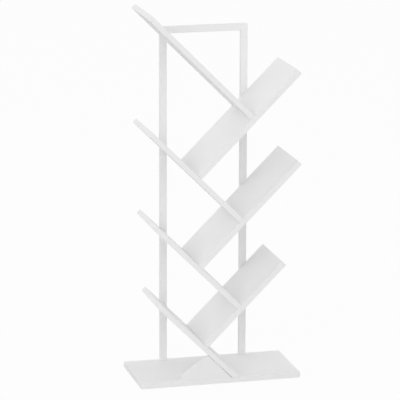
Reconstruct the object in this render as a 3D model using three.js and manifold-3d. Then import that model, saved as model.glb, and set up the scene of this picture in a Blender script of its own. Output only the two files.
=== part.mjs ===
// Tree-shaped bookcase: a base board, a rear frame of two posts and a rail, and seven sloping
// shelves that lean left and right in turn, each standing square on the one below it.
// Millimetres, +Z up. The origin is on the floor under the middle of the base board, and the
// open front faces -Y.

import * as THREE from 'three';
import { mergeVertices } from 'three/addons/utils/BufferGeometryUtils.js';
import Module from 'manifold-3d';

const wasm = await Module();
wasm.setup();

// Base board
const baseWidth = 505;
const baseDepth = 240;
const baseThickness = 16;

// Rear frame: its bars are barWidth wide seen from the front and barDepth deep
const frameWidth = 277;
const frameHeight = 1061;
const barWidth = 21;
const barDepth = 16;

// Shelves: the left-leaning ones rise at shelfTiltDegrees, the right-leaning ones stand square to them
const shelfTiltDegrees = 45;
const shelfThickness = 16;

// Where the upper face of the lowest shelf meets the base board, right of the middle
const footOffset = 57;

// Each shelf's length along its upper face, from the board it stands on to its free end
const leftShelf1Length = 346;
const rightShelf1Length = 348.5;
const leftShelf2Length = 375;
const rightShelf2Length = 437.5;
const leftShelf3Length = 397;
const rightShelf3Length = 438.5;
const leftShelf4Length = 448.5;

// Where each shelf's upper face stands on the shelf below, measured from that shelf's lower end.
// The highest shelf stands where its upper face passes postTopShow under the left post's top corner
const rightShelf1Seat = 157.5;
const leftShelf2Seat = 165;
const rightShelf2Seat = 188.5;
const leftShelf3Seat = 195;
const rightShelf3Seat = 200.5;
const postTopShow = 4;

// Gusset plate that holds up the lowest shelf: its foot along the base board, its low outer end,
// how far it reaches up the shelf's underside and the gap that opens towards the shelf's foot
const gussetWidth = 160;
const gussetThickness = 16;
const gussetHeelHeight = 14;
const gussetReach = 105;
const gussetFootGap = 1.2;

// Connecting screw with a countersunk head, used in every screwed joint
const screwLength = 50;
const screwHeadDiameter = 9.5;
const screwHeadHeight = 3;
const screwHeadSink = 0.5;
const screwShankDiameter = 6.4;
const screwShankLength = 13;
const screwThreadDiameter = 5.2;
const screwTipLength = 4;
const screwSocketWidth = 4;
const screwSocketDepth = 2.4;
const screwSocketSides = 6;

// Wooden dowels: the large one sits in the shelf joints and the small one in the narrow pieces;
// a seat is the depth that a dowel goes into the first of the two pieces
const dowelDiameter = 8;
const dowelLength = 30;
const dowelSeat = 11;
const smallDowelDiameter = 6;
const smallDowelLength = 20;
const smallDowelSeat = 9;
const dowelChamfer = 1;

// Places of the fasteners
const shelfScrewInset = 40;
const barFastenerPitch = 10;
const gussetScrewShares = [0.31, 0.68];
const gussetDowelShares = [0.36, 0.76];
const footDowelDepthShares = [0.5, 0.82];
const footDowelWidthShare = 0.25;

// Glides pushed into the underside of the base board
const glideDiameter = 20;
const glideHeight = 3;
const glideEdge = 1;
const glideStemDiameter = 5;
const glideStemLength = 10;
const glideInset = 25;

// Fit of one piece in or on another, overrun of every cut, and sides of the round pieces
const fitClearance = 0.3;
const cutOverrun = 1;
const roundSides = 12;

// Places worked out from the sizes
const baseTop = glideHeight + baseThickness;
const frontY = -baseDepth / 2;
const rearY = baseDepth / 2;
const barMiddleY = rearY - barDepth / 2;
const postMiddleX = (frameWidth - barWidth) / 2;
const frameTop = baseTop + frameHeight;
const shelfDepth = baseDepth - barDepth - fitClearance;
const shelfMiddleY = frontY + shelfDepth / 2;
const tilt = THREE.MathUtils.degToRad(shelfTiltDegrees);
const across = new THREE.Vector3(1, 0, 0);
const back = new THREE.Vector3(0, 1, 0);
const up = new THREE.Vector3(0, 0, 1);

// The two directions of the shelves: along a left-leaning shelf, and along a right-leaning one.
// Each is the upward normal of the other kind.
const alongLeft = new THREE.Vector3(-Math.cos(tilt), 0, Math.sin(tilt));
const alongRight = new THREE.Vector3(Math.sin(tilt), 0, Math.cos(tilt));

// Finishes
function whiteBoard() {
  return new THREE.MeshStandardMaterial({ color: 0xeeeeec, roughness: 0.45, metalness: 0 });
}

function zincSteel() {
  return new THREE.MeshStandardMaterial({ color: 0xb9bcc0, roughness: 0.35, metalness: 1 });
}

function beech() {
  return new THREE.MeshStandardMaterial({ color: 0xcfa878, roughness: 0.7, metalness: 0 });
}

function whitePlastic() {
  return new THREE.MeshStandardMaterial({ color: 0xe6e6e2, roughness: 0.5, metalness: 0 });
}

// A closed geometry as a solid that can be cut
function toSolid(geometry, matrix) {
  const bare = geometry.clone();
  bare.deleteAttribute('normal');
  bare.deleteAttribute('uv');
  bare.applyMatrix4(matrix);
  const merged = mergeVertices(bare);
  const vertProperties = new Float32Array(merged.attributes.position.array);
  const triVerts = new Uint32Array(merged.index.array);
  return new wasm.Manifold(new wasm.Mesh({ numProp: 3, vertProperties, triVerts }));
}

function toGeometry(solid) {
  const cut = solid.getMesh();
  const geometry = new THREE.BufferGeometry();
  geometry.setAttribute('position', new THREE.BufferAttribute(cut.vertProperties, 3));
  geometry.setIndex(new THREE.BufferAttribute(cut.triVerts, 1));
  geometry.computeVertexNormals();
  return geometry;
}

// A round piece from its [radius, height] profile, listed from the low end to the high end
function turned(profile) {
  const points = profile.map(([radius, height]) => new THREE.Vector2(radius, height));
  const geometry = new THREE.LatheGeometry(points, roundSides);
  geometry.rotateX(Math.PI / 2);
  return geometry;
}

// A plate from an outline in X and Z, with its depth centred on Y
function plate(outline, depth) {
  const shape = new THREE.Shape(outline.map(([x, z]) => new THREE.Vector2(x, z)));
  const geometry = new THREE.ExtrudeGeometry(shape, { depth, bevelEnabled: false });
  geometry.translate(0, 0, -depth / 2);
  geometry.rotateX(Math.PI / 2);
  return geometry;
}

function boxPiece(name, width, depth, height, x, y, z) {
  const geometry = new THREE.BoxGeometry(width, depth, height);
  const matrix = new THREE.Matrix4().makeTranslation(x, y, z);
  return { name, geometry, matrix };
}

// The base board, lying on its glides
function baseBoard() {
  const middleZ = glideHeight + baseThickness / 2;
  return boxPiece('base_board', baseWidth, baseDepth, baseThickness, 0, 0, middleZ);
}

// A post of the rear frame, standing on the base board
function post(name, side) {
  const middleZ = baseTop + frameHeight / 2;
  return boxPiece(name, barWidth, barDepth, frameHeight, side * postMiddleX, barMiddleY, middleZ);
}

// The rail between the tops of the posts
function topRail() {
  const railLength = frameWidth - 2 * barWidth;
  const middleZ = frameTop - barWidth / 2;
  return boxPiece('top_rail', railLength, barDepth, barWidth, 0, barMiddleY, middleZ);
}

// A shelf in its own frame: X along its upper face from the lower end, Z out of that face.
// levelCut is how far the lower corner of a level-cut end runs in along X, zero for a square end.
function shelf(name, corner, along, normal, length, levelCut) {
  const outline = [[0, 0], [levelCut, -shelfThickness], [length, -shelfThickness], [length, 0]];
  const side = new THREE.Vector3().crossVectors(normal, along);
  const matrix = new THREE.Matrix4().makeBasis(along, side, normal).setPosition(corner);
  return { name, geometry: plate(outline, shelfDepth), matrix, corner, along, normal };
}

// The gusset in its own frame: the origin is the lower corner of the lowest shelf's foot
function gusset(footCorner) {
  const apex = alongLeft.clone().multiplyScalar(gussetReach).addScaledVector(alongRight, -fitClearance);
  const outline = [
    [-gussetFootGap / Math.sin(tilt), 0],
    [apex.x, apex.z],
    [-gussetWidth, gussetHeelHeight],
    [-gussetWidth, 0],
  ];
  const middleY = frontY + gussetThickness / 2;
  const matrix = new THREE.Matrix4().makeTranslation(footCorner.x, middleY, footCorner.z);
  return { name: 'foot_gusset', geometry: plate(outline, gussetThickness), matrix };
}

// The lowest shelf, with its foot cut level to stand on the base board
function footedShelf() {
  const levelCut = shelfThickness / Math.tan(tilt);
  const foot = new THREE.Vector3(footOffset, shelfMiddleY, baseTop + fitClearance);
  return shelf('left_shelf_1', foot, alongLeft, alongRight, leftShelf1Length, levelCut);
}

// A shelf that stands square on the upper face of the one below
function shelfOn(below, name, length, seat) {
  const corner = below.corner.clone();
  corner.addScaledVector(below.along, seat);
  corner.addScaledVector(below.normal, fitClearance);
  return shelf(name, corner, below.normal, below.along, length, 0);
}

// The seat that brings the highest shelf past the top of the left post
function highestSeat(below) {
  const passed = new THREE.Vector3(-frameWidth / 2, below.corner.y, frameTop - postTopShow);
  return passed.sub(below.corner).dot(below.along);
}

// The shelves between the lowest and the highest: name, length, seat on the shelf below
const middleShelves = [
  ['right_shelf_1', rightShelf1Length, rightShelf1Seat],
  ['left_shelf_2', leftShelf2Length, leftShelf2Seat],
  ['right_shelf_2', rightShelf2Length, rightShelf2Seat],
  ['left_shelf_3', leftShelf3Length, leftShelf3Seat],
  ['right_shelf_3', rightShelf3Length, rightShelf3Seat],
];

function stackShelves() {
  const stack = [footedShelf()];
  for (const [name, length, seat] of middleShelves) {
    stack.push(shelfOn(stack[stack.length - 1], name, length, seat));
  }
  const below = stack[stack.length - 1];
  stack.push(shelfOn(below, 'left_shelf_4', leftShelf4Length, highestSeat(below)));
  return stack;
}

// A fastener's frame: origin at a point, Z along the way it is driven
function aim(origin, direction) {
  const turn = new THREE.Quaternion().setFromUnitVectors(up, direction);
  return new THREE.Matrix4().compose(origin, turn, new THREE.Vector3(1, 1, 1));
}

// Screw profile from the head face at the origin to the tip, grown all over by a clearance
function screwProfile(grow) {
  const head = screwHeadDiameter / 2 + grow;
  const shank = screwShankDiameter / 2 + grow;
  const thread = screwThreadDiameter / 2 + grow;
  const end = screwLength + grow;
  return [
    [head, 0],
    [shank, screwHeadHeight],
    [shank, screwShankLength],
    [thread, screwShankLength],
    [thread, end - screwTipLength],
    [0, end],
  ];
}

function screwGeometry() {
  const body = toSolid(turned([[0, 0], ...screwProfile(0)]), new THREE.Matrix4());
  const cornerRadius = screwSocketWidth / 2 / Math.cos(Math.PI / screwSocketSides);
  const socketDepth = screwSocketDepth + cutOverrun;
  const socket = new THREE.CylinderGeometry(cornerRadius, cornerRadius, socketDepth, screwSocketSides);
  socket.rotateX(Math.PI / 2);
  const place = new THREE.Matrix4().makeTranslation(0, 0, screwSocketDepth - socketDepth / 2);
  return toGeometry(body.subtract(toSolid(socket, place)));
}

function screwCutter() {
  const profile = screwProfile(fitClearance);
  const mouth = screwHeadDiameter / 2 + fitClearance;
  const outside = -screwHeadSink - cutOverrun;
  return turned([[0, outside], [mouth, outside], ...profile]);
}

// Dowel profile: the origin is the joint face, and the seat lies behind it
function dowelGeometry(diameter, length, seat) {
  const radius = diameter / 2;
  const far = length - seat;
  return turned([
    [0, -seat],
    [radius - dowelChamfer, -seat],
    [radius, dowelChamfer - seat],
    [radius, far - dowelChamfer],
    [radius - dowelChamfer, far],
    [0, far],
  ]);
}

function dowelCutter(diameter, length, seat) {
  const radius = diameter / 2 + fitClearance;
  const far = length - seat + fitClearance;
  const near = -seat - fitClearance;
  return turned([[0, near], [radius, near], [radius, far], [0, far]]);
}

// Glide: a flat disc with a stem that is pushed up into the base board
function glideGeometry() {
  const disc = glideDiameter / 2;
  const stem = glideStemDiameter / 2;
  return turned([
    [0, 0],
    [disc - glideEdge, 0],
    [disc, glideEdge],
    [disc, glideHeight],
    [stem, glideHeight],
    [stem, glideHeight + glideStemLength],
    [0, glideHeight + glideStemLength],
  ]);
}

function glideCutter() {
  const radius = glideStemDiameter / 2 + fitClearance;
  const far = glideHeight + glideStemLength + fitClearance;
  const near = glideHeight - cutOverrun;
  return turned([[0, near], [radius, near], [radius, far], [0, far]]);
}

const screwShape = screwGeometry();
const screwHole = screwCutter();
const dowelShape = dowelGeometry(dowelDiameter, dowelLength, dowelSeat);
const dowelHole = dowelCutter(dowelDiameter, dowelLength, dowelSeat);
const smallDowelShape = dowelGeometry(smallDowelDiameter, smallDowelLength, smallDowelSeat);
const smallDowelHole = dowelCutter(smallDowelDiameter, smallDowelLength, smallDowelSeat);
const glideShape = glideGeometry();
const glideHole = glideCutter();

// Everything that is fixed through or into other pieces, with the pieces that it cuts
const fasteners = [];

// A screw driven from a face, with its head just under that face
function addScrew(name, facePoint, direction, pieces) {
  const origin = facePoint.clone().addScaledVector(direction, screwHeadSink);
  const matrix = aim(origin, direction);
  fasteners.push({ name, geometry: screwShape, hole: screwHole, matrix, pieces, finish: zincSteel });
}

function addDowel(name, jointPoint, direction, pieces) {
  const matrix = aim(jointPoint, direction);
  fasteners.push({ name, geometry: dowelShape, hole: dowelHole, matrix, pieces, finish: beech });
}

function addSmallDowel(name, jointPoint, direction, pieces) {
  const matrix = aim(jointPoint, direction);
  const geometry = smallDowelShape;
  fasteners.push({ name, geometry, hole: smallDowelHole, matrix, pieces, finish: beech });
}

// Each shelf joint: two screws up through the lower shelf and a dowel between them
function fastenShelfJoint(lower, upper) {
  const middle = upper.corner.clone().addScaledVector(upper.normal, -shelfThickness / 2);
  const underside = middle.clone();
  underside.addScaledVector(lower.normal, -fitClearance - shelfThickness);
  const reach = shelfDepth / 2 - shelfScrewInset;
  const pieces = [lower, upper];
  const front = underside.clone().addScaledVector(back, -reach);
  const rear = underside.clone().addScaledVector(back, reach);
  addScrew(`${upper.name}_front_screw`, front, upper.along, pieces);
  addScrew(`${upper.name}_rear_screw`, rear, upper.along, pieces);
  middle.addScaledVector(lower.normal, -fitClearance);
  addDowel(`${upper.name}_dowel`, middle, upper.along, pieces);
}

// A screw from behind, through the post and into the rear edge of a shelf that crosses it
function fastenShelfToPost(board, postPiece, postX) {
  const point = board.corner.clone().addScaledVector(board.normal, -shelfThickness / 2);
  point.addScaledVector(board.along, (postX - point.x) / board.along.x);
  point.y = rearY;
  const towardsFront = back.clone().negate();
  addScrew(`${board.name}_post_screw`, point, towardsFront, [postPiece, board]);
}

// A screw up through the base board and a small dowel beside it, in the foot of each post
function fastenPostFoot(postPiece, postX, base) {
  const offset = barFastenerPitch / 2;
  const pieces = [base, postPiece];
  const screwPoint = new THREE.Vector3(postX - offset, barMiddleY, glideHeight);
  const dowelPoint = new THREE.Vector3(postX + offset, barMiddleY, baseTop);
  addScrew(`${postPiece.name}_foot_screw`, screwPoint, up, pieces);
  addSmallDowel(`${postPiece.name}_foot_dowel`, dowelPoint, up, pieces);
}

// A screw through the side of each post and a small dowel above it, in the end of the rail
function fastenRailEnd(postPiece, side, rail) {
  const offset = barFastenerPitch / 2;
  const middleZ = frameTop - barWidth / 2;
  const pieces = [postPiece, rail];
  const inward = across.clone().multiplyScalar(-side);
  const screwPoint = new THREE.Vector3(side * frameWidth / 2, barMiddleY, middleZ - offset);
  const dowelPoint = new THREE.Vector3(side * (frameWidth / 2 - barWidth), barMiddleY, middleZ + offset);
  addScrew(`${postPiece.name}_rail_screw`, screwPoint, inward, pieces);
  addSmallDowel(`${postPiece.name}_rail_dowel`, dowelPoint, inward, pieces);
}

// Screws up through the base board into the gusset, and dowels from it into the lowest shelf
function fastenGusset(gussetPiece, footCorner, base, lowestShelf) {
  const middleY = frontY + gussetThickness / 2;
  gussetScrewShares.forEach((share, index) => {
    const point = new THREE.Vector3(footCorner.x - share * gussetWidth, middleY, glideHeight);
    addScrew(`gusset_screw_${index + 1}`, point, up, [base, gussetPiece]);
  });
  const intoGusset = alongRight.clone().negate();
  gussetDowelShares.forEach((share, index) => {
    const point = footCorner.clone().addScaledVector(alongLeft, share * gussetReach);
    point.y = middleY;
    addSmallDowel(`gusset_dowel_${index + 1}`, point, intoGusset, [gussetPiece, lowestShelf]);
  });
}

// Upright dowels between the base board and the level-cut foot of the lowest shelf
function fastenShelfFoot(footCorner, base, lowestShelf) {
  const footWidth = shelfThickness / Math.sin(tilt);
  const pointX = footCorner.x + footDowelWidthShare * footWidth;
  footDowelDepthShares.forEach((share, index) => {
    const point = new THREE.Vector3(pointX, frontY + share * shelfDepth, baseTop);
    addSmallDowel(`shelf_foot_dowel_${index + 1}`, point, up, [base, lowestShelf]);
  });
}

function fastenGlides(base) {
  const names = ['glide_front_left', 'glide_front_right', 'glide_rear_left', 'glide_rear_right'];
  names.forEach((name, index) => {
    const x = (index % 2 === 0 ? -1 : 1) * (baseWidth / 2 - glideInset);
    const y = (index < 2 ? -1 : 1) * (baseDepth / 2 - glideInset);
    const matrix = new THREE.Matrix4().makeTranslation(x, y, 0);
    const pieces = [base];
    fasteners.push({ name, geometry: glideShape, hole: glideHole, matrix, pieces, finish: whitePlastic });
  });
}

// A board with the holes of every fastener that goes through or into it
function drilled(piece) {
  const toPiece = piece.matrix.clone().invert();
  const holes = fasteners.filter((fastener) => fastener.pieces.includes(piece));
  let solid = toSolid(piece.geometry, new THREE.Matrix4());
  for (const fastener of holes) {
    const place = toPiece.clone().multiply(fastener.matrix);
    solid = solid.subtract(toSolid(fastener.hole, place));
  }
  return toGeometry(solid);
}

function placedMesh(name, geometry, material, matrix) {
  const mesh = new THREE.Mesh(geometry, material);
  mesh.name = name;
  matrix.decompose(mesh.position, mesh.quaternion, mesh.scale);
  return mesh;
}

const base = baseBoard();
const leftPost = post('left_post', -1);
const rightPost = post('right_post', 1);
const rail = topRail();
const shelves = stackShelves();
const lowestShelf = shelves[0];
const footCorner = new THREE.Vector3(footOffset - shelfThickness / Math.sin(tilt), 0, baseTop);
const gussetPiece = gusset(footCorner);

fastenPostFoot(leftPost, -postMiddleX, base);
fastenPostFoot(rightPost, postMiddleX, base);
fastenRailEnd(leftPost, -1, rail);
fastenRailEnd(rightPost, 1, rail);
fastenGusset(gussetPiece, footCorner, base, lowestShelf);
fastenShelfFoot(footCorner, base, lowestShelf);
shelves.forEach((board, index) => {
  if (index > 0) {
    fastenShelfJoint(shelves[index - 1], board);
  }
  const leansLeft = board.along.x < 0;
  fastenShelfToPost(board, leansLeft ? leftPost : rightPost, leansLeft ? -postMiddleX : postMiddleX);
});
fastenGlides(base);

const boards = new THREE.Group();
for (const piece of [base, gussetPiece, leftPost, rightPost, rail, ...shelves]) {
  boards.add(placedMesh(piece.name, drilled(piece), whiteBoard(), piece.matrix));
}

const hardware = new THREE.Group();
for (const { name, geometry, finish, matrix } of fasteners) {
  hardware.add(placedMesh(name, geometry, finish(), matrix));
}

const bookcase = new THREE.Group();
bookcase.add(boards, hardware);

export default bookcase;
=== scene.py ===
"""Looks of a white tree-shaped bookcase, laid out as a Blender add-on.

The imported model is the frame. Every board is read from it as a prism that runs front to back, and is made
again as a faced core with its own edge bands and drilled holes. Every screw, dowel and glide is read from
it as an axis, and is made again as a turned surface. Metres, +Z up, the open front faces -Y.
"""
import math
import re

import bpy
import numpy as np
from bpy.props import FloatProperty, FloatVectorProperty, IntProperty, PointerProperty
from bpy.types import Operator, Panel, PropertyGroup
from mathutils import Matrix, Vector
from mathutils.geometry import convex_hull_2d


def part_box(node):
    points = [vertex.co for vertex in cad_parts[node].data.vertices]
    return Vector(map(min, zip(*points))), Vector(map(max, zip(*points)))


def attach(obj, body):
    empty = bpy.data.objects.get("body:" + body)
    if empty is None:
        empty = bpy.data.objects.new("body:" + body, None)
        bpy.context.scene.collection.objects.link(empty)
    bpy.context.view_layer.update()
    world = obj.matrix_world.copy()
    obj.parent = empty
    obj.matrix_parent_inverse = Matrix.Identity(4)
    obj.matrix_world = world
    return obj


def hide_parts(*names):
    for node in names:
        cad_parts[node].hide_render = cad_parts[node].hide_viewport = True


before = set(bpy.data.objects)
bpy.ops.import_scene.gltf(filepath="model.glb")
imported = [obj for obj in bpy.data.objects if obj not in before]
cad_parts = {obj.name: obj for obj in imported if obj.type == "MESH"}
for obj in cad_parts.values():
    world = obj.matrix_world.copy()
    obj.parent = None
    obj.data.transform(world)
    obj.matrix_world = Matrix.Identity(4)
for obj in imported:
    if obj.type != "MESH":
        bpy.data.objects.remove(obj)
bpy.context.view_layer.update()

bl_info = {
    "name": "Tree bookcase",
    "version": (1, 0, 0),
    "blender": (4, 5, 0),
    "location": "View3D > Sidebar > Bookcase",
    "description": "Faced boards, edge bands, screws, dowels and glides of a tree-shaped bookcase",
    "category": "Object",
}

MILLIMETRE = 0.001

# Two points closer than this are one point, and a corner that turns by less is no corner
TOUCHING = 0.02 * MILLIMETRE
LEAST_TURN = 0.02

# A rim or arris is an edge where the surface turns by more than this angle
SHARP_COSINE = math.cos(math.radians(40))

# Directions in X and Z, and straight up
DOWN = (0, -1)
LEFT = (-1, 0)
RIGHT = (1, 0)
UPPER_RIGHT = (math.sqrt(0.5), math.sqrt(0.5))
UPWARDS = np.array([0.0, 0.0, 1.0])

# Names of the CAD nodes
SCREWS = r".*_screw(_\d)?"
DOWELS = r".*_dowel(_\d)?"
GLIDES = r"glide_.*"


def small_size(name, description, default, low, high):
    """A setting for a size that is given in millimetres here and kept in metres."""
    return FloatProperty(
        name=name, description=description, default=default * MILLIMETRE, min=low * MILLIMETRE,
        max=high * MILLIMETRE, unit="LENGTH", precision=5)


def finish_colour(name, description, default):
    """A setting for the colour of a finish."""
    return FloatVectorProperty(
        name=name, description=description, default=default, min=0.0, max=1.0, subtype="COLOR")


class BoardSettings(PropertyGroup):
    """Sizes and colours of the faced boards and their edge bands."""

    band_thickness: small_size(
        "Band thickness", "Thickness of the plastic band glued on a board's edges",
        default=0.8, low=0.3, high=3)
    arris_radius: small_size(
        "Arris radius", "Rounding of the outer corners of the edge bands", default=0.4, low=0.1, high=2)
    seam_share: FloatProperty(
        name="Seam share", description="Rounding of seams and hole rims, as a share of the arris radius",
        default=0.15, min=0.0, max=1.0, subtype="FACTOR")
    facing_colour: finish_colour("Facing", "Colour of the melamine facing", default=(0.92, 0.92, 0.92))
    band_colour: finish_colour("Band", "Colour of the edge bands", default=(0.93, 0.93, 0.93))
    chip_colour: finish_colour(
        "Chip", "Colour of the particle board inside drilled holes and raw ends", default=(0.46, 0.33, 0.2))


class HardwareSettings(PropertyGroup):
    """Sizes and colours of the screws, dowels and glides."""

    socket_width: small_size(
        "Socket width", "Width across flats of the screw's hexagon socket", default=4, low=1, high=7)
    socket_depth: small_size(
        "Socket depth", "Depth of the screw's hexagon socket", default=2.4, low=1, high=4)
    head_height: small_size("Head height", "Height of the countersunk head", default=3, low=1, high=6)
    shank_diameter: small_size(
        "Shank diameter", "Diameter of the smooth shank under the head", default=6.4, low=3, high=8)
    shank_length: small_size(
        "Shank end", "Distance from the head face to the first thread", default=13, low=5, high=20)
    thread_diameter: small_size(
        "Thread diameter", "Outer diameter of the thread", default=5.2, low=3, high=7)
    thread_pitch: small_size(
        "Thread pitch", "Distance from one thread to the next", default=3, low=1, high=5)
    thread_depth: small_size(
        "Thread depth", "Depth of the thread below its crest", default=0.8, low=0.1, high=1.5)
    tip_length: small_size("Tip length", "Length of the screw's cone-shaped tip", default=4, low=1, high=8)
    flutes: IntProperty(
        name="Flutes", description="Number of glue flutes round a dowel", default=18, min=6, max=40)
    flute_depth: small_size("Flute depth", "Depth of a dowel's glue flutes", default=0.25, low=0, high=1)
    dowel_chamfer: small_size(
        "Dowel chamfer", "Chamfer at both ends of a dowel", default=1, low=0.2, high=2)
    glide_edge: small_size("Glide edge", "Rounding of the glide's lower rim", default=1, low=0.2, high=2)
    glide_height: small_size(
        "Glide height", "Height of the glide's disc, which lifts the base board", default=3, low=1, high=6)
    glide_stem: small_size("Glide stem", "Diameter of the glide's stem", default=5, low=2, high=8)
    hole_clearance: small_size(
        "Hole clearance", "Gap all round between a fastener and its drilled hole",
        default=0.12, low=0.02, high=0.3)
    zinc_colour: finish_colour("Zinc", "Colour of the zinc-plated screws", default=(0.56, 0.57, 0.58))
    beech_colour: finish_colour("Beech", "Colour of the dowels", default=(0.56, 0.36, 0.18))
    plastic_colour: finish_colour("Plastic", "Colour of the glides", default=(0.74, 0.74, 0.71))


class StageSettings(PropertyGroup):
    """The camera, the light and the floor."""

    lens: FloatProperty(
        name="Lens", description="Focal length on a 36 mm wide sensor, in millimetres",
        default=234.5, min=20.0, max=600.0)
    azimuth: FloatProperty(
        name="Azimuth", description="Camera's angle round the bookcase, negative to the left of its front",
        default=math.radians(-14.53), subtype="ANGLE", unit="ROTATION")
    elevation: FloatProperty(
        name="Elevation", description="Camera's angle above the horizon",
        default=math.radians(13.67), subtype="ANGLE", unit="ROTATION")
    roll: FloatProperty(
        name="Roll", description="Turn of the camera about its own line of sight",
        default=math.radians(0.16), subtype="ANGLE", unit="ROTATION")
    distance: FloatProperty(
        name="Distance", description="Camera's distance from the point it looks at",
        default=7.983, min=1.0, max=50.0, unit="LENGTH")
    aim: FloatVectorProperty(
        name="Aim", description="The point that the camera looks at",
        default=(-0.0384, 0.0, 0.5567), subtype="TRANSLATION", unit="LENGTH")
    side_light: FloatProperty(
        name="Side light", description="Strength of the white light from the sides and overhead",
        default=0.52, min=0.0)
    front_light: FloatProperty(
        name="Front light", description="Strength added to the white light straight in front",
        default=0.72, min=0.0)
    rear_light: FloatProperty(
        name="Rear light", description="Strength added to the white light straight behind",
        default=0.71, min=0.0)
    lamp_size: FloatProperty(
        name="Lamp size", description="Side of each square lamp", default=4.8, min=0.1, unit="LENGTH")
    key_power: FloatProperty(
        name="Key lamp", description="Power of the soft lamp at the front left", default=90.0,
        min=0.0, unit="POWER")
    key_place: FloatVectorProperty(
        name="Key place", description="Middle of the key lamp",
        default=(-4.46, -4.48, 3.83), subtype="TRANSLATION", unit="LENGTH")
    right_power: FloatProperty(
        name="Right lamp", description="Power of the soft lamp high on the right", default=35.0,
        min=0.0, unit="POWER")
    right_place: FloatVectorProperty(
        name="Right place", description="Middle of the right lamp",
        default=(3.79, 0.0, 5.97), subtype="TRANSLATION", unit="LENGTH")
    rear_power: FloatProperty(
        name="Rear lamp", description="Power of the soft lamp at the rear left", default=32.0,
        min=0.0, unit="POWER")
    rear_place: FloatVectorProperty(
        name="Rear place", description="Middle of the rear lamp",
        default=(-3.58, 3.58, 4.8), subtype="TRANSLATION", unit="LENGTH")
    backdrop_white: FloatProperty(
        name="Backdrop", description="White of the backdrop as the camera sees it",
        default=0.98, min=0.0, max=1.0)
    floor_white: FloatProperty(
        name="Floor white", description="White that the floor shows the camera beside its light and shadow",
        default=1.0, min=0.0, max=1.0)
    shadow_share: FloatProperty(
        name="Shadow share", description="How much of the floor's own light and shadow shows",
        default=0.05, min=0.0, max=1.0, subtype="FACTOR")
    floor_colour: finish_colour("Floor", "Colour of the pale floor", default=(0.74, 0.74, 0.74))
    floor_radius: FloatProperty(
        name="Floor radius", description="Radius of the round floor", default=40.0, min=2.0, unit="LENGTH")
    floor_gap: FloatProperty(
        name="Floor gap", description="Hair's breadth between the floor and what stands on it",
        default=0.05 * MILLIMETRE, min=0.0, unit="LENGTH", precision=6)


# Reading the frame

def read(items, attribute, width, kind=float):
    """One attribute of a mesh's points, edges, corners or faces as an array, a row for each."""
    values = np.zeros(len(items) * width, dtype=kind)
    items.foreach_get(attribute, values)
    return values.reshape(-1, width)


def points_of(node):
    """Corner points of a CAD node, one row each."""
    return read(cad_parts[node].data.vertices, "co", 3)


def nodes_like(pattern):
    """Names of the CAD nodes that match a pattern, in order."""
    return sorted(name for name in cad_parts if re.fullmatch(pattern, name))


def edges_of(outline):
    """Unit direction of each edge of an outline, from its corner to the next."""
    ahead = np.roll(outline, -1, 0) - outline
    return ahead / np.linalg.norm(ahead, axis=1)[:, None]


def outline_of(node):
    """A board's outline in X and Z, counterclockwise seen from the front.

    Every board runs straight from front to back, so its outline is the convex hull of its points. A hull
    point stays a corner where the sine of the turn between its two edges is not near zero.
    """
    flat = points_of(node)[:, [0, 2]]
    grid = np.round(flat / TOUCHING).astype(int)
    flat = flat[np.unique(grid, axis=0, return_index=True)[1]]
    hull = flat[convex_hull_2d([Vector(point) for point in flat])]
    ahead = edges_of(hull)
    before = np.roll(ahead, 1, 0)
    turn = before[:, 0] * ahead[:, 1] - before[:, 1] * ahead[:, 0]
    hull = hull[np.abs(turn) > LEAST_TURN]
    return hull if turn.sum() > 0 else hull[::-1]


def outward_of(outline):
    """Unit normal that points out of each edge of a counterclockwise outline: the edge turned right."""
    ahead = edges_of(outline)
    return np.stack([ahead[:, 1], -ahead[:, 0]], 1)


def axis_of(node):
    """Where a turned piece starts and which way it runs, from its wider end.

    The axis is the direction in which its points spread most. The wider end is the one whose points lie
    further from the axis.
    """
    points = points_of(node)
    middle = (points.min(0) + points.max(0)) / 2
    direction = np.linalg.svd(points - points.mean(0), full_matrices=False)[2][0]
    along = (points - middle) @ direction
    away = np.linalg.norm(points - middle - along[:, None] * direction, axis=1)
    low_end = away[along < along.min() + MILLIMETRE].max()
    high_end = away[along > along.max() - MILLIMETRE].max()
    if high_end > low_end:
        direction, along = -direction, -along
    return middle + direction * along.min(), direction, along.max() - along.min(), away.max()


def placed(points, start, direction):
    """Points made round Z, turned so that Z runs along a direction, and moved to a start point."""
    turn = Vector((0, 0, 1)).rotation_difference(Vector(direction)).to_matrix()
    return points @ np.array(turn).T + start


# Surfaces

def prism(outline, front, rear):
    """An outline in X and Z carried straight back along Y from front to rear, closed by a face at each end.

    Wall k runs along edge k of the outline. The two ends come after the walls, front first.
    """
    count = len(outline)
    points = np.zeros((2, count, 3))
    points[:, :, [0, 2]] = outline
    points[:, :, 1] = np.array([front, rear])[:, None]
    near = np.arange(count)
    following = np.roll(near, -1)
    walls = np.stack([near, near + count, following + count, following], 1)
    ends = [near.tolist(), (near + count)[::-1].tolist()]
    return points.reshape(-1, 3), walls.tolist() + ends


def prism_planes(outline, front, rear):
    """The planes of a prism as rows of normal and distance from the origin, in the order of its faces."""
    outward = outward_of(outline)
    planes = np.zeros((len(outline) + 2, 4))
    planes[:-2, 0] = outward[:, 0]
    planes[:-2, 2] = outward[:, 1]
    planes[:-2, 3] = (outline * outward).sum(1)
    planes[-2:, 1] = [-1, 1]
    planes[-2:, 3] = [-front, rear]
    return planes


def inset(outline, depths):
    """Each edge of an outline moved inwards by its own depth: a new corner is where two moved edges meet."""
    outward = outward_of(outline)
    reach = (outline * outward).sum(1) - depths
    normals = np.stack([np.roll(outward, 1, 0), outward], 1)
    reaches = np.stack([np.roll(reach, 1), reach], 1)
    return np.linalg.solve(normals, reaches[:, :, None])[:, :, 0]


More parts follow.
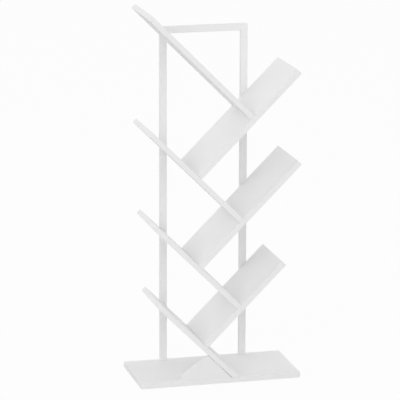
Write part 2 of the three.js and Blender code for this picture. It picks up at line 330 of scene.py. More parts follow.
def turned(radii, heights, start_height, end_height):
    """A closed surface round Z from a table of radii, a row for each ring and a column for each side.

    A point at ring i and side j lies at radius(i, j) and angle 2 pi j / sides, at height(i). The first ring
    closes on a pole at start_height, and the last on one at end_height.
    """
    rings, sides = radii.shape
    angles = np.arange(sides) * 2 * math.pi / sides
    points = np.zeros((rings, sides, 3))
    points[:, :, 0] = radii * np.cos(angles)
    points[:, :, 1] = radii * np.sin(angles)
    points[:, :, 2] = np.broadcast_to(np.reshape(heights, (rings, 1)), (rings, sides))
    poles = [[0, 0, start_height], [0, 0, end_height]]
    index = np.arange(rings * sides).reshape(rings, sides)
    beside = np.roll(index, -1, 1)
    quads = np.stack([index[:-1], beside[:-1], beside[1:], index[1:]], 2).reshape(-1, 4)
    first = np.full(sides, rings * sides)
    start_fan = np.stack([first, beside[0], index[0]], 1)
    end_fan = np.stack([first + 1, index[-1], beside[-1]], 1)
    faces = quads.tolist() + start_fan.tolist() + end_fan.tolist()
    return np.concatenate([points.reshape(-1, 3), poles]), faces


def round_profile(profile, sides):
    """A profile of radius and height rows, from pole to pole, as a turned surface with plain round rings."""
    profile = np.array(profile)
    radii = np.repeat(profile[1:-1, :1], sides, 1)
    return turned(radii, profile[1:-1, 1], profile[0, 1], profile[-1, 1])


# Meshes

BEVEL_SEGMENTS = 3


def mesh_from(name, points, faces, materials):
    """A mesh from points and faces, smooth, with its materials in order."""
    mesh = bpy.data.meshes.new(name)
    mesh.from_pydata(points.tolist(), [], faces)
    for material in materials:
        mesh.materials.append(material)
    mesh.shade_smooth()
    return mesh


def add_object(name, data):
    """A new object in the scene."""
    thing = bpy.data.objects.new(name, data)
    bpy.context.scene.collection.objects.link(thing)
    return thing


def add_piece(mesh, node):
    """A mesh as a piece of the bookcase, which stands for a CAD node."""
    piece = add_object(mesh.name, mesh)
    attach(piece, "root")
    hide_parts(node)
    return piece


def carve(mesh, tools):
    """The mesh with every tool mesh cut out of it. Cut faces take the mesh's second material."""
    points, faces, count = [], [], 0
    for tool_points, tool_faces in tools:
        points.append(tool_points)
        faces += [[corner + count for corner in face] for face in tool_faces]
        count += len(tool_points)
    tool_mesh = mesh_from("drill", np.concatenate(points), faces, mesh.materials)
    tool_mesh.polygons.foreach_set("material_index", np.ones(len(faces), dtype=np.int32))
    body = add_object("blank", mesh)
    drill = add_object("drill", tool_mesh)
    cut = body.modifiers.new("holes", "BOOLEAN")
    cut.operation = "DIFFERENCE"
    cut.solver = "EXACT"
    cut.material_mode = "INDEX"
    cut.object = drill
    evaluated = body.evaluated_get(bpy.context.evaluated_depsgraph_get())
    carved = bpy.data.meshes.new_from_object(evaluated)
    name = mesh.name
    bpy.data.objects.remove(body)
    bpy.data.objects.remove(drill)
    bpy.data.meshes.remove(mesh)
    bpy.data.meshes.remove(tool_mesh)
    carved.name = name
    return carved


def edge_turns(mesh):
    """Cosine of the turn between the two faces at each edge, from the faces' normals."""
    normals = read(mesh.polygons, "normal", 3)
    corners = read(mesh.polygons, "loop_total", 1, np.int32)[:, 0]
    loop_edge = read(mesh.loops, "edge_index", 1, np.int32)[:, 0]
    loop_face = np.repeat(np.arange(len(corners)), corners)
    order = np.argsort(loop_edge, kind="stable")
    first = np.searchsorted(loop_edge[order], np.arange(len(mesh.edges)))
    one = normals[loop_face[order][first]]
    other = normals[loop_face[order][np.minimum(first + 1, len(order) - 1)]]
    return (one * other).sum(1)


def weigh_edges(mesh, planes, seams, seam_share):
    """Gives each sharp edge its share of the bevel.

    An edge that lies in two of the prism's planes is an arris, and gets the full bevel unless one of them
    is a seam. Seams and hole rims get the small share.
    """
    points = read(mesh.vertices, "co", 3)
    ends = read(mesh.edges, "vertices", 2, np.int32)
    lies_in = np.abs(points @ planes[:, :3].T - planes[:, 3]) < TOUCHING
    shared = lies_in[ends[:, 0]] & lies_in[ends[:, 1]]
    weights = np.where(edge_turns(mesh) < SHARP_COSINE, seam_share, 0.0)
    arris = (shared.sum(1) > 1) & (weights > 0) & ~shared[:, seams].any(1)
    weights[arris] = 1.0
    layer = mesh.attributes.new("bevel_weight_edge", "FLOAT", "EDGE")
    layer.data.foreach_set("value", weights.astype(np.float32))


def soften(piece, radius):
    """Rounds the weighted edges of a piece and keeps its flat faces flat to the light."""
    bevel = piece.modifiers.new("arrises", "BEVEL")
    bevel.limit_method = "WEIGHT"
    bevel.width = radius
    bevel.segments = BEVEL_SEGMENTS
    bevel.harden_normals = True
    bevel.loop_slide = False
    bevel.use_clamp_overlap = True


# Boards

HOLE_SIDES = 40

# How far a drill starts outside the board, and how much further a dowel's or a stem's hole goes at each end
DRILL_OVERRUN = 1.5 * MILLIMETRE
HOLE_END_GAP = 0.5 * MILLIMETRE

# Two directions are the same way where the cosine between them is above this
SAME_WAY = 0.9

# An end whose outward direction has less Z than this stands on another board
STANDING_END = -0.1


def screw_hole(node, hardware):
    """Countersink, clearance hole and pilot hole of one screw as a drill's closed surface."""
    start, direction, length, head = axis_of(node)
    gap = hardware.hole_clearance
    shank = hardware.shank_diameter / 2 + gap
    pilot = hardware.thread_diameter / 2 + gap
    profile = [
        [0, -DRILL_OVERRUN],
        [head + gap, -DRILL_OVERRUN],
        [head + gap, 0],
        [shank, hardware.head_height],
        [shank, hardware.shank_length],
        [pilot, hardware.shank_length],
        [pilot, length + gap],
        [0, length + gap],
    ]
    points, faces = round_profile(profile, HOLE_SIDES)
    return placed(points, start, direction), faces


def round_hole(start, direction, length, radius):
    """A plain round hole, as long as what goes in it plus a small gap at both ends."""
    end = length + HOLE_END_GAP
    profile = [[0, -HOLE_END_GAP], [radius, -HOLE_END_GAP], [radius, end], [0, end]]
    points, faces = round_profile(profile, HOLE_SIDES)
    return placed(points, start, direction), faces


def dowel_hole(node, hardware):
    """The two blind holes of one dowel, as one drill."""
    start, direction, length, radius = axis_of(node)
    return round_hole(start, direction, length, radius + hardware.hole_clearance)


def glide_hole(node, hardware):
    """The hole of a glide's stem in the underside of the base board."""
    low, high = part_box(node)
    start = np.array([(low.x + high.x) / 2, (low.y + high.y) / 2, low.z + hardware.glide_height])
    radius = hardware.glide_stem / 2 + hardware.hole_clearance
    return round_hole(start, UPWARDS, high.z - start[2], radius)


def drills_near(points, hardware):
    """The drills of every fastener whose box touches the box of these points."""
    makers = {SCREWS: screw_hole, DOWELS: dowel_hole, GLIDES: glide_hole}
    drills = []
    for pattern, maker in makers.items():
        for node in nodes_like(pattern):
            low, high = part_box(node)
            apart = (np.array(low) - points.max(0)).max(), (points.min(0) - np.array(high)).max()
            if max(apart) < 0:
                drills.append(maker(node, hardware))
    return drills


def board_piece(name, node, outline, depth, seams, face_material, raw_faces=()):
    """One prism of a board: drilled, its edges weighed and softened. Raw faces show particle board."""
    scene = bpy.context.scene
    points, faces = prism(outline, *depth)
    mesh = mesh_from(name, points, faces, [face_material, chip_material()])
    indices = np.zeros(len(faces), dtype=np.int32)
    indices[list(raw_faces)] = 1
    mesh.polygons.foreach_set("material_index", indices)
    drills = drills_near(points, scene.bookcase_hardware)
    if drills:
        mesh = carve(mesh, drills)
    weigh_edges(mesh, prism_planes(outline, *depth), seams, scene.bookcase_boards.seam_share)
    soften(add_piece(mesh, node), scene.bookcase_boards.arris_radius)


def band_strip(outline, inner, edge):
    """The strip from an edge of an outline to the same edge moved inwards, as an outline of its own."""
    following = (edge + 1) % len(outline)
    return np.array([outline[edge], outline[following], inner[following], inner[edge]])


def side_word(outward):
    """Left, right, top or bottom, by the way that an edge mostly faces."""
    if abs(outward[0]) > abs(outward[1]):
        return "right" if outward[0] > 0 else "left"
    return "top" if outward[1] > 0 else "bottom"


def lying_board(node):
    """A board that is faced above and below: bands on its front, its rear and its free ends.

    The two longest edges of its outline are the faces. An end that faces down stands on another board, and
    is left raw. The front and rear bands cover the ends of the end bands.
    """
    band = bpy.context.scene.bookcase_boards.band_thickness
    outline = outline_of(node)
    outward = outward_of(outline)
    lengths = np.linalg.norm(np.roll(outline, -1, 0) - outline, axis=1)
    is_end = lengths < np.sort(lengths)[-2] / 2
    is_banded = is_end & (outward[:, 1] > STANDING_END)
    inner = inset(outline, np.where(is_banded, band, 0.0))
    low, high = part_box(node)
    front, rear = low.y, high.y
    count = len(outline)
    front_end, rear_end = count, count + 1
    raw_faces = [*np.flatnonzero(is_end), front_end, rear_end]
    board_piece(f"{node}_core", node, inner, (front + band, rear - band), np.ones(count + 2, dtype=bool),
                facing_material(), raw_faces)
    for name, depth, glued in (("front", (front, front + band), rear_end),
                               ("rear", (rear - band, rear), front_end)):
        board_piece(f"{node}_{name}_band", node, outline, depth, np.arange(count + 2) == glued,
                    band_material())
    # An end band meets the core at its third wall, and the front and rear bands at its ends
    seams = np.array([False, False, True, False, True, True])
    for edge in np.flatnonzero(is_banded):
        board_piece(f"{node}_{side_word(outward[edge])}_end_band", node, band_strip(outline, inner, edge),
                    (front + band, rear - band), seams, band_material())


def upright_board(node, raw_ways):
    """A board or bar that is faced in front and behind: bands on its edges, but for those that meet another.

    raw_ways are the directions, in X and Z, in which its raw edges face. The bands are mitred together.
    """
    band = bpy.context.scene.bookcase_boards.band_thickness
    outline = outline_of(node)
    outward = outward_of(outline)
    is_raw = (outward @ np.array(raw_ways).T > SAME_WAY).any(1)
    inner = inset(outline, np.where(is_raw, 0.0, band))
    low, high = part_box(node)
    depth = (low.y, high.y)
    count = len(outline)
    board_piece(f"{node}_core", node, inner, depth, np.ones(count + 2, dtype=bool), facing_material(),
                range(count))
    # A band meets the core at its third wall, and another band at each mitred end
    for edge in np.flatnonzero(~is_raw):
        seams = np.array([False, not is_raw[(edge + 1) % count], True, not is_raw[edge - 1], False, False])
        board_piece(f"{node}_{side_word(outward[edge])}_band", node, band_strip(outline, inner, edge), depth,
                    seams, band_material())


# Hardware

# How finely the turned surfaces are divided
SCREW_SIDES = 36
GLIDE_SIDES = 64
SIDES_IN_FLUTE = 6
ROWS_IN_PITCH = 10
RIM_RINGS = 7

# Barbs on a glide's stem
BARBS = 3

# Smooth shading stops where a turned surface bends by more than this
SHARP_ANGLE = math.radians(35)

# The screw's small chamfers, and the flat middle of its socket and of its tip as shares of their radii
SCREW_CHAMFER = 0.2 * MILLIMETRE
SOCKET_FLOOR = 0.5
TIP_FLAT = 0.3

# Where a dowel's rounded end has its middle ring and its full ring, as shares of the chamfer
DOWEL_RING = 0.6
DOWEL_FULL_RING = 1.4
DOWEL_ROUNDING = 0.3

# A glide's stem between its barbs and at its tip, and the hollow in its underside, as shares of a radius
STEM_CORE = 0.72
STEM_TIP = 0.8
HOLLOW_FLAT = 0.35
HOLLOW_RIM = 0.42


def hexagon(angles, width):
    """Radius of a regular hexagon at each angle: half its width across flats over the cosine of the angle
    from the middle of the nearest flat."""
    return width / 2 / np.cos(np.mod(angles, math.pi / 3) - math.pi / 6)


def screw_surface(length, head, hardware):
    """A countersunk connecting screw round Z, from the bottom of its socket, over its head, to its tip.

    The socket's rings are hexagons and the rest are circles. On the thread the radius is the root plus the
    depth times a narrow ridge: the cube of half of one plus the cosine of 2 pi (height / pitch - turn).
    """
    angles = np.arange(SCREW_SIDES) * 2 * math.pi / SCREW_SIDES
    six = hexagon(angles, hardware.socket_width)
    circle = np.ones(SCREW_SIDES)
    shank = hardware.shank_diameter / 2
    crest = hardware.thread_diameter / 2
    root = crest - hardware.thread_depth
    chamfer = SCREW_CHAMFER
    tip = length - hardware.tip_length
    rows = int(ROWS_IN_PITCH * (tip - hardware.shank_length) / hardware.thread_pitch)
    heights = np.linspace(hardware.shank_length, tip, rows)
    phase = heights[:, None] / hardware.thread_pitch - angles / (2 * math.pi)
    ridge = (0.5 + 0.5 * np.cos(2 * math.pi * phase)) ** 3
    run_out = np.clip((tip - heights) / hardware.thread_pitch, 0, 1)[:, None]
    thread = root + hardware.thread_depth * ridge * run_out
    upper_radii = np.stack([
        six * SOCKET_FLOOR, six - chamfer, six, six, six + chamfer, (head - chamfer) * circle, head * circle,
        shank * circle, shank * circle, root * circle])
    upper_heights = np.array([
        hardware.socket_depth, hardware.socket_depth, hardware.socket_depth - chamfer, chamfer, 0, 0,
        chamfer, hardware.head_height, hardware.shank_length - chamfer, hardware.shank_length - chamfer / 2])
    radii = np.concatenate([upper_radii, thread, root * TIP_FLAT * circle[None]])
    heights = np.concatenate([upper_heights, heights, [length - chamfer]])
    return turned(radii, heights, hardware.socket_depth + chamfer, length)


def dowel_surface(length, radius, hardware):
    """A fluted dowel round Z: each ring's radius dips by the flute depth times the square of a cosine."""
    sides = hardware.flutes * SIDES_IN_FLUTE
    angles = np.arange(sides) * 2 * math.pi / sides
    dip = hardware.flute_depth * np.cos(hardware.flutes * angles / 2) ** 2
    chamfer = hardware.dowel_chamfer
    body = radius - dip
    narrow = np.minimum(body, radius - chamfer)
    rounded = radius - chamfer * DOWEL_ROUNDING - dip / 2
    near_end = np.array([0, chamfer * DOWEL_RING, chamfer * DOWEL_FULL_RING])
    heights = np.concatenate([near_end, length - near_end[::-1]])
    return turned(np.stack([narrow, rounded, body, body, rounded, narrow]), heights, 0, length)


def glide_surface(height, radius, hardware):
    """A glide round Z: a disc whose lower rim is a quarter circle, and a stem with barbs that point down.

    A barb rises from the stem's core to its full radius and falls straight back.
    """
    edge = hardware.glide_edge
    sweep = np.linspace(0, math.pi / 2, RIM_RINGS)
    rim = np.stack([radius - edge + edge * np.sin(sweep), edge - edge * np.cos(sweep)], 1)
    disc_top = hardware.glide_height
    stem = hardware.glide_stem / 2
    core = stem * STEM_CORE
    barb_foot = np.linspace(disc_top + edge, height - edge, BARBS + 1)
    barbs = [[[core, low], [stem, low + edge / 2], [core, high - edge / 2]]
             for low, high in zip(barb_foot[:-1], barb_foot[1:])]
    dish = edge / 4
    underside = [[0, dish], [radius * HOLLOW_FLAT, dish], [radius * HOLLOW_RIM, 0]]
    upper = [[radius, disc_top - edge / 4], [radius - edge / 4, disc_top], [core, disc_top]]
    tip = [[core * STEM_TIP, height - edge / 4], [0, height]]
    return round_profile(np.concatenate([underside, rim, upper, *barbs, tip]), GLIDE_SIDES)


def add_turned(node, surface, start, direction, material):
    """A turned piece in place, with its own unturned coordinates kept in the bench attribute."""
    points, faces = surface
    mesh = mesh_from(f"{node}_turned", placed(points, start, direction), faces, [material])
    bench = mesh.attributes.new("bench", "FLOAT_VECTOR", "POINT")
    bench.data.foreach_set("vector", points.astype(np.float32).ravel())
    mesh.set_sharp_from_angle(angle=SHARP_ANGLE)
    add_piece(mesh, node)


# Shader groups

# The finer of the pearl grain's two noises has more pits, which take away a share of the height
FINER_PITS = 2.7
FINER_SHARE = 0.35

# Handling varies the roughness in smaller patches than the colour
SMALLER_PATCHES = 3.1


def new_group(name, inputs, outputs):
    """An empty shader node group with named sockets, and the sockets that bring its inputs in."""
    tree = bpy.data.node_groups.new(name, "ShaderNodeTree")
    for way, sockets in (("INPUT", inputs), ("OUTPUT", outputs)):
        for socket, kind in sockets.items():
            tree.interface.new_socket(socket, in_out=way, socket_type=f"NodeSocket{kind}")
    return tree, tree.nodes.new("NodeGroupInput").outputs


def add_node(tree, kind, inputs=None, **settings):
    """A node with its settings. Each input, by name or number, is linked to a socket or set to a value."""
    node = tree.nodes.new(kind)
    for key, value in settings.items():
        setattr(node, key, value)
    for key, value in (inputs or {}).items():
        if isinstance(value, bpy.types.NodeSocket):
            tree.links.new(value, node.inputs[key])
        else:
            node.inputs[key].default_value = value
    return node


def math_node(tree, operation, first, second):
    """What a Math node makes of two terms, which are sockets or numbers."""
    return add_node(tree, "ShaderNodeMath", {0: first, 1: second}, operation=operation).outputs[0]


def noise_node(tree, position, scale, detail):
    """A noise texture over a position. Its scale is a number or a socket."""
    inputs = {"Vector": position, "Scale": scale, "Detail": detail}
    return add_node(tree, "ShaderNodeTexNoise", inputs, noise_dimensions="3D").outputs["Fac"]


def pearl_group():
    """Pearl grain of facing and plastic: soft pits, a noise minus a finer one, as a height from 0 to 1."""
    if "pearl_grain" in bpy.data.node_groups:
        return bpy.data.node_groups["pearl_grain"]
    tree, given = new_group("pearl_grain", {"Position": "Vector", "Pits per metre": "Float"},
                            {"Height": "Float"})
    position, pits = given["Position"], given["Pits per metre"]
    coarse = noise_node(tree, position, pits, detail=2.0)
    fine = noise_node(tree, position, math_node(tree, "MULTIPLY", pits, FINER_PITS), detail=1.0)
    height = math_node(tree, "SUBTRACT", coarse, math_node(tree, "MULTIPLY", fine, FINER_SHARE))
    add_node(tree, "NodeGroupOutput", {"Height": height})
    return tree


def handling_group():
    """Slow cloudiness of a handled surface: a noise darkens the colour and another varies the roughness."""
    if "handling" in bpy.data.node_groups:
        return bpy.data.node_groups["handling"]
    tree, given = new_group(
        "handling",
        {"Position": "Vector", "Colour": "Color", "Darker": "Color", "Roughness": "Float",
         "Spread": "Float", "Patches per metre": "Float"},
        {"Colour": "Color", "Roughness": "Float"})
    position, patches = given["Position"], given["Patches per metre"]
    cloud = noise_node(tree, position, patches, detail=3.0)
    smear = noise_node(tree, position, math_node(tree, "MULTIPLY", patches, SMALLER_PATCHES), detail=2.0)
    blend = add_node(tree, "ShaderNodeMix", data_type="RGBA", inputs={
        "Factor": cloud, "A": given["Colour"], "B": given["Darker"]})
    centred = math_node(tree, "SUBTRACT", smear, 0.5)
    shift = math_node(tree, "MULTIPLY", centred, given["Spread"])
    add_node(tree, "NodeGroupOutput", {
        "Colour": blend.outputs["Result"],
        "Roughness": math_node(tree, "ADD", given["Roughness"], shift)})
    return tree


def start_material(name):
    """A material with a Principled shader, linked to its output, and its node tree."""
    material = bpy.data.materials.new(name)
    material.use_nodes = True
    tree = material.node_tree
    tree.nodes.clear()
    shader = tree.nodes.new("ShaderNodeBsdfPrincipled")
    add_node(tree, "ShaderNodeOutputMaterial", {"Surface": shader.outputs["BSDF"]})
    return material, tree, shader


def shaded(colour, share):
    """A colour with each of its parts multiplied by a share, one at most, and solid."""
    return (*[min(1.0, part * share) for part in colour], 1)


def add_pearl(tree, shader, position, pits, strength, depth):
    """Links the pearl grain to a shader through a Bump node."""
    group = add_node(tree, "ShaderNodeGroup", node_tree=pearl_group(), inputs={
        "Position": position, "Pits per metre": pits})
    bump = add_node(tree, "ShaderNodeBump", {
        "Strength": strength, "Distance": depth, "Height": group.outputs["Height"]})
    tree.links.new(bump.outputs["Normal"], shader.inputs["Normal"])


def object_position(tree):
    """Object coordinates, which are the frame's own metres."""
    return add_node(tree, "ShaderNodeTexCoord").outputs["Object"]


def bench_position(tree):
    """The coordinates that a turned piece had round its own axis."""
    return add_node(tree, "ShaderNodeAttribute", attribute_name="bench").outputs["Vector"]


def stretched(tree, position, scale):
    """A position stretched along its axes by a Mapping node."""
    return add_node(tree, "ShaderNodeMapping", {"Vector": position, "Scale": scale}).outputs["Vector"]


def handled_material(name, colour, darker, roughness, spread, patches, pits, strength, depth,
                     position=object_position, stretch=None, grain_stretch=None, plain_values=None):
    """A material with handling in its colour and roughness and a pearl grain as its bump, made once.

    stretch draws out both patterns, and grain_stretch the grain alone. plain_values go on the shader's own
    sockets.
    """
    if name in bpy.data.materials:
        return bpy.data.materials[name]
    material, tree, shader = start_material(name)
    place = position(tree)
    if stretch:
        place = stretched(tree, place, stretch)
    handling = add_node(tree, "ShaderNodeGroup", node_tree=handling_group(), inputs={
        "Position": place, "Colour": shaded(colour, 1), "Darker": shaded(colour, darker),
        "Roughness": roughness, "Spread": spread, "Patches per metre": patches})
    tree.links.new(handling.outputs["Colour"], shader.inputs["Base Color"])
    tree.links.new(handling.outputs["Roughness"], shader.inputs["Roughness"])
    for key, value in (plain_values or {}).items():
        shader.inputs[key].default_value = value
    if grain_stretch:
        place = stretched(tree, place, grain_stretch)
    add_pearl(tree, shader, place, pits, strength, depth)
    return material


# Materials

# White boards shine little, even where they are seen almost edge on
SATIN = {"Specular IOR Level": 0.25}
METAL = {"Metallic": 1.0}

# Raw particle board: its chips are this much darker and paler than its colour
CHIPS_PER_METRE = 900.0
CHIP_DARK = 0.55
CHIP_PALE = 1.35
CHIP_ROUGHNESS = 0.9

# Turning leaves rings across the axis of a screw, and a dowel's grain runs along it
TURNED_RINGS = (0.2, 0.2, 4.0)
LONG_GRAIN = (1.0, 1.0, 0.08)


def facing_material():
    """White melamine facing: satin, with a pearl grain and a slow, faint cloudiness."""
    return handled_material(
        "white_facing", bpy.context.scene.bookcase_boards.facing_colour, darker=0.985, roughness=0.62,
        spread=0.12, patches=7.0, pits=1100.0, strength=0.08, depth=0.03 * MILLIMETRE, plain_values=SATIN)


def band_material():
    """White plastic edge band: a little smoother than the facing, with a finer grain."""
    return handled_material(
        "white_band", bpy.context.scene.bookcase_boards.band_colour, darker=0.985, roughness=0.58,
        spread=0.1, patches=11.0, pits=2300.0, strength=0.06, depth=0.02 * MILLIMETRE, plain_values=SATIN)


def chip_material():
    """Raw particle board: cells of pale and brown chips, rough, in the drilled holes and on the raw ends."""
    if "particle_board" in bpy.data.materials:
        return bpy.data.materials["particle_board"]
    material, tree, shader = start_material("particle_board")
    position = object_position(tree)
    colour = bpy.context.scene.bookcase_boards.chip_colour
    chips = add_node(tree, "ShaderNodeTexVoronoi", feature="F1", inputs={
        "Vector": position, "Scale": CHIPS_PER_METRE})
    shade = add_node(tree, "ShaderNodeSeparateColor", {"Color": chips.outputs["Color"]})
    blend = add_node(tree, "ShaderNodeMix", data_type="RGBA", inputs={
        "Factor": shade.outputs["Red"], "A": shaded(colour, CHIP_DARK), "B": shaded(colour, CHIP_PALE)})
    tree.links.new(blend.outputs["Result"], shader.inputs["Base Color"])
    shader.inputs["Roughness"].default_value = CHIP_ROUGHNESS
    add_pearl(tree, shader, position, pits=1500.0, strength=0.7, depth=0.2 * MILLIMETRE)
    return material


def zinc_material():
    """Bright zinc plate on steel: metal with rings left by turning and slow changes of roughness."""
    return handled_material(
        "zinc_plate", bpy.context.scene.bookcase_hardware.zinc_colour, darker=0.8, roughness=0.32,
        spread=0.2, patches=420.0, pits=2500.0, strength=0.2, depth=0.02 * MILLIMETRE,
        position=bench_position, grain_stretch=TURNED_RINGS, plain_values=METAL)


def beech_material():
    """Raw beech: a noise drawn out along the dowel gives the grain's colour, and a finer one its bump."""
    return handled_material(
        "raw_beech", bpy.context.scene.bookcase_hardware.beech_colour, darker=0.55, roughness=0.75,
        spread=0.15, patches=900.0, pits=2600.0, strength=0.5, depth=0.1 * MILLIMETRE,
        position=bench_position, stretch=LONG_GRAIN)


def plastic_material():
    """Matt moulded plastic of the glides, scuffed where it slides."""
    return handled_material(
        "glide_plastic", bpy.context.scene.bookcase_hardware.plastic_colour, darker=0.9, roughness=0.55,
        spread=0.25, patches=160.0, pits=1800.0, strength=0.35, depth=0.06 * MILLIMETRE,
        position=bench_position)


# Stage

FLOOR_SIDES = 64
WHITE = (1, 1, 1, 1)


def camera_matrix(stage):
    """Where the camera stands: back from the aim point along its azimuth and elevation, then rolled."""
    azimuth, elevation = stage.azimuth, stage.elevation
    back = Vector((math.sin(azimuth) * math.cos(elevation),
                   -math.cos(azimuth) * math.cos(elevation),
                   math.sin(elevation)))
    right = Vector((math.cos(azimuth), math.sin(azimuth), 0))
    up = back.cross(right)
    turn = Matrix((right, up, back)).transposed().to_4x4() @ Matrix.Rotation(stage.roll, 4, "Z")
    return Matrix.Translation(Vector(stage.aim) + back * stage.distance) @ turn


def add_camera(stage):
    """The camera at the photograph's viewing angle."""
    data = bpy.data.cameras.new("camera")
    data.lens = stage.lens
    camera = add_object("camera", data)
    camera.matrix_world = camera_matrix(stage)
    bpy.context.scene.camera = camera


def add_lamp(stage, name, power, place):
    """A large square lamp that faces the middle of the bookcase."""
    data = bpy.data.lights.new(name, "AREA")
    data.shape = "SQUARE"
    data.size = stage.lamp_size
    data.energy = power
    lamp = add_object(name, data)
    lamp.location = place
    lamp.rotation_mode = "QUATERNION"
    lamp.rotation_quaternion = (lamp.location - Vector(stage.aim)).to_track_quat("Z", "Y")


def seen_directly(tree):
    """One for rays that show the backdrop as it is: from the camera, mirrored or through glass."""
    path = tree.nodes.new("ShaderNodeLightPath")
    mirrored = math_node(tree, "MAXIMUM", path.outputs["Is Glossy Ray"], path.outputs["Is Transmission Ray"])
    return math_node(tree, "MAXIMUM", path.outputs["Is Camera Ray"], mirrored)


def mix_shaders(tree, share, first, second):
    """Two nodes' shaders mixed: the first where the share is zero, and the second where it is one."""
    return add_node(tree, "ShaderNodeMixShader", {0: share, 1: first.outputs[0], 2: second.outputs[0]})


def add_world(stage):
    """A white dome for the light, brighter in front and behind, and a white backdrop where it is seen.

    The dome's strength is the side light plus the front or rear light times the square of the direction's Y.
    """
    world = bpy.data.worlds.new("studio")
    world.use_nodes = True
    bpy.context.scene.world = world
    tree = world.node_tree
    tree.nodes.clear()
    direction = add_node(tree, "ShaderNodeTexCoord").outputs["Generated"]
    depth = add_node(tree, "ShaderNodeSeparateXYZ", {"Vector": direction}).outputs["Y"]
    behind = math_node(tree, "GREATER_THAN", depth, 0.0)
    extra = math_node(tree, "MULTIPLY", behind, stage.rear_light - stage.front_light)
    extra = math_node(tree, "ADD", extra, stage.front_light)
    extra = math_node(tree, "MULTIPLY", extra, math_node(tree, "MULTIPLY", depth, depth))
    strength = math_node(tree, "ADD", extra, stage.side_light)
    dome = add_node(tree, "ShaderNodeBackground", {"Color": WHITE, "Strength": strength})
    backdrop = add_node(tree, "ShaderNodeBackground", {"Color": WHITE, "Strength": stage.backdrop_white})
    blend = mix_shaders(tree, seen_directly(tree), dome, backdrop)
    add_node(tree, "ShaderNodeOutputWorld", {"Surface": blend.outputs[0]})


def floor_material(stage):
    """A pale matt floor. Where it is seen, most of it is plain white, and the rest keeps light and shadow.

    It is clear from below, so that the bookcase's underside can be looked at.
    """
    material = bpy.data.materials.new("pale_floor")
    material.use_nodes = True
    tree = material.node_tree
    tree.nodes.clear()
    matt = add_node(tree, "ShaderNodeBsdfDiffuse", {"Color": (*stage.floor_colour, 1)})
    glow = add_node(tree, "ShaderNodeEmission", {"Color": WHITE, "Strength": stage.floor_white})
    plain = math_node(tree, "MULTIPLY", seen_directly(tree), 1 - stage.shadow_share)
    above = mix_shaders(tree, plain, matt, glow)
    from_below = add_node(tree, "ShaderNodeNewGeometry").outputs["Backfacing"]
    clear = add_node(tree, "ShaderNodeBsdfTransparent")
    both = mix_shaders(tree, from_below, above, clear)
    add_node(tree, "ShaderNodeOutputMaterial", {"Surface": both.outputs[0]})
    return material


def add_floor(stage):
    """A round floor: one ring of points at the floor radius, closed with one face."""
    angles = np.linspace(0, 2 * math.pi, FLOOR_SIDES, endpoint=False)
    ring = np.stack([np.cos(angles), np.sin(angles), np.zeros(FLOOR_SIDES)], 1) * stage.floor_radius
    ring[:, 2] = -stage.floor_gap
    mesh = mesh_from("floor", ring, [list(range(FLOOR_SIDES))], [floor_material(stage)])
    add_object("floor", mesh)


# Operators and panel

class BOOKCASE_OT_stage(Operator):
    """Set up the camera, the light and the pale floor"""

    bl_idname = "bookcase.stage"
    bl_label = "Stage"

    def execute(self, context):
        stage = context.scene.bookcase_stage
        context.scene.view_settings.view_transform = "Standard"
        add_camera(stage)
        add_lamp(stage, "key_lamp", stage.key_power, stage.key_place)
        add_lamp(stage, "right_lamp", stage.right_power, stage.right_place)
        add_lamp(stage, "rear_lamp", stage.rear_power, stage.rear_place)
        add_world(stage)
        add_floor(stage)
        return {"FINISHED"}


class BOOKCASE_OT_base(Operator):
    """Make the base board with its four edge bands"""

    bl_idname = "bookcase.base"
    bl_label = "Base board"

    def execute(self, context):
        lying_board("base_board")
        return {"FINISHED"}


class BOOKCASE_OT_shelves(Operator):
    """Make the seven sloping shelves with their edge bands"""

    bl_idname = "bookcase.shelves"
    bl_label = "Shelves"

    def execute(self, context):
        for node in nodes_like(r"(left|right)_shelf_\d"):
            lying_board(node)
        return {"FINISHED"}


class BOOKCASE_OT_rear_frame(Operator):
    """Make the two posts and the rail between their tops"""

    bl_idname = "bookcase.rear_frame"
    bl_label = "Rear frame"

    def execute(self, context):
        for node in nodes_like(r"(left|right)_post"):
            upright_board(node, [DOWN])
        upright_board("top_rail", [LEFT, RIGHT])
        return {"FINISHED"}


class BOOKCASE_OT_gusset(Operator):
    """Make the gusset that holds up the lowest shelf"""

    bl_idname = "bookcase.gusset"
    bl_label = "Gusset"

    def execute(self, context):
        upright_board("foot_gusset", [DOWN, UPPER_RIGHT])
        return {"FINISHED"}


class BOOKCASE_OT_screws(Operator):
    """Make the zinc-plated connecting screws"""

    bl_idname = "bookcase.screws"
    bl_label = "Screws"

    def execute(self, context):
        hardware = context.scene.bookcase_hardware
        for node in nodes_like(SCREWS):
            start, direction, length, head = axis_of(node)
            surface = screw_surface(length, head, hardware)
            add_turned(node, surface, start, direction, zinc_material())
        return {"FINISHED"}


class BOOKCASE_OT_dowels(Operator):
    """Make the fluted beech dowels"""

    bl_idname = "bookcase.dowels"
    bl_label = "Dowels"

    def execute(self, context):
        hardware = context.scene.bookcase_hardware
        for node in nodes_like(DOWELS):
            start, direction, length, radius = axis_of(node)
            surface = dowel_surface(length, radius, hardware)
            add_turned(node, surface, start, direction, beech_material())
        return {"FINISHED"}


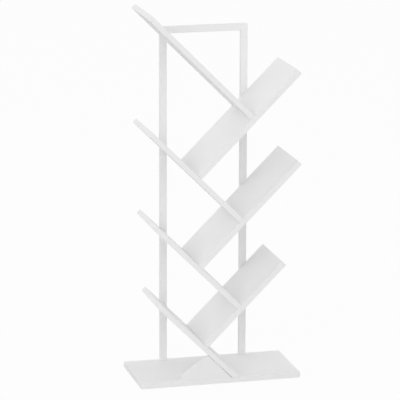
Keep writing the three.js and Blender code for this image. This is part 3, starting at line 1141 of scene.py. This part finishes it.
class BOOKCASE_OT_glides(Operator):
    """Make the plastic glides under the base board"""

    bl_idname = "bookcase.glides"
    bl_label = "Glides"

    def execute(self, context):
        hardware = context.scene.bookcase_hardware
        for node in nodes_like(GLIDES):
            low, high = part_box(node)
            start = np.array([(low.x + high.x) / 2, (low.y + high.y) / 2, low.z])
            surface = glide_surface(high.z - low.z, (high.x - low.x) / 2, hardware)
            add_turned(node, surface, start, UPWARDS, plastic_material())
        return {"FINISHED"}


class BOOKCASE_PT_panel(Panel):
    """Buttons and settings of the bookcase in the 3D view's sidebar"""

    bl_idname = "BOOKCASE_PT_panel"
    bl_label = "Tree bookcase"
    bl_space_type = "VIEW_3D"
    bl_region_type = "UI"
    bl_category = "Bookcase"

    def draw(self, context):
        for operator in OPERATORS:
            self.layout.operator(operator.bl_idname)
        for group in (context.scene.bookcase_boards, context.scene.bookcase_hardware,
                      context.scene.bookcase_stage):
            box = self.layout.box()
            for name in group.bl_rna.properties.keys():
                if name not in ("rna_type", "name"):
                    box.prop(group, name)


OPERATORS = (
    BOOKCASE_OT_stage,
    BOOKCASE_OT_base,
    BOOKCASE_OT_shelves,
    BOOKCASE_OT_rear_frame,
    BOOKCASE_OT_gusset,
    BOOKCASE_OT_screws,
    BOOKCASE_OT_dowels,
    BOOKCASE_OT_glides,
)
CLASSES = (BoardSettings, HardwareSettings, StageSettings, *OPERATORS, BOOKCASE_PT_panel)


def register():
    """Registers the classes and hangs the settings on the scene."""
    for item in CLASSES:
        bpy.utils.register_class(item)
    bpy.types.Scene.bookcase_boards = PointerProperty(type=BoardSettings)
    bpy.types.Scene.bookcase_hardware = PointerProperty(type=HardwareSettings)
    bpy.types.Scene.bookcase_stage = PointerProperty(type=StageSettings)


def unregister():
    """Takes the settings and the classes away again."""
    del bpy.types.Scene.bookcase_boards
    del bpy.types.Scene.bookcase_hardware
    del bpy.types.Scene.bookcase_stage
    for item in reversed(CLASSES):
        bpy.utils.unregister_class(item)


def main():
    """Makes the stage and every piece."""
    register()
    for operator in OPERATORS:
        group, name = operator.bl_idname.split(".")
        getattr(getattr(bpy.ops, group), name)()


if __name__ == "__main__":
    main()
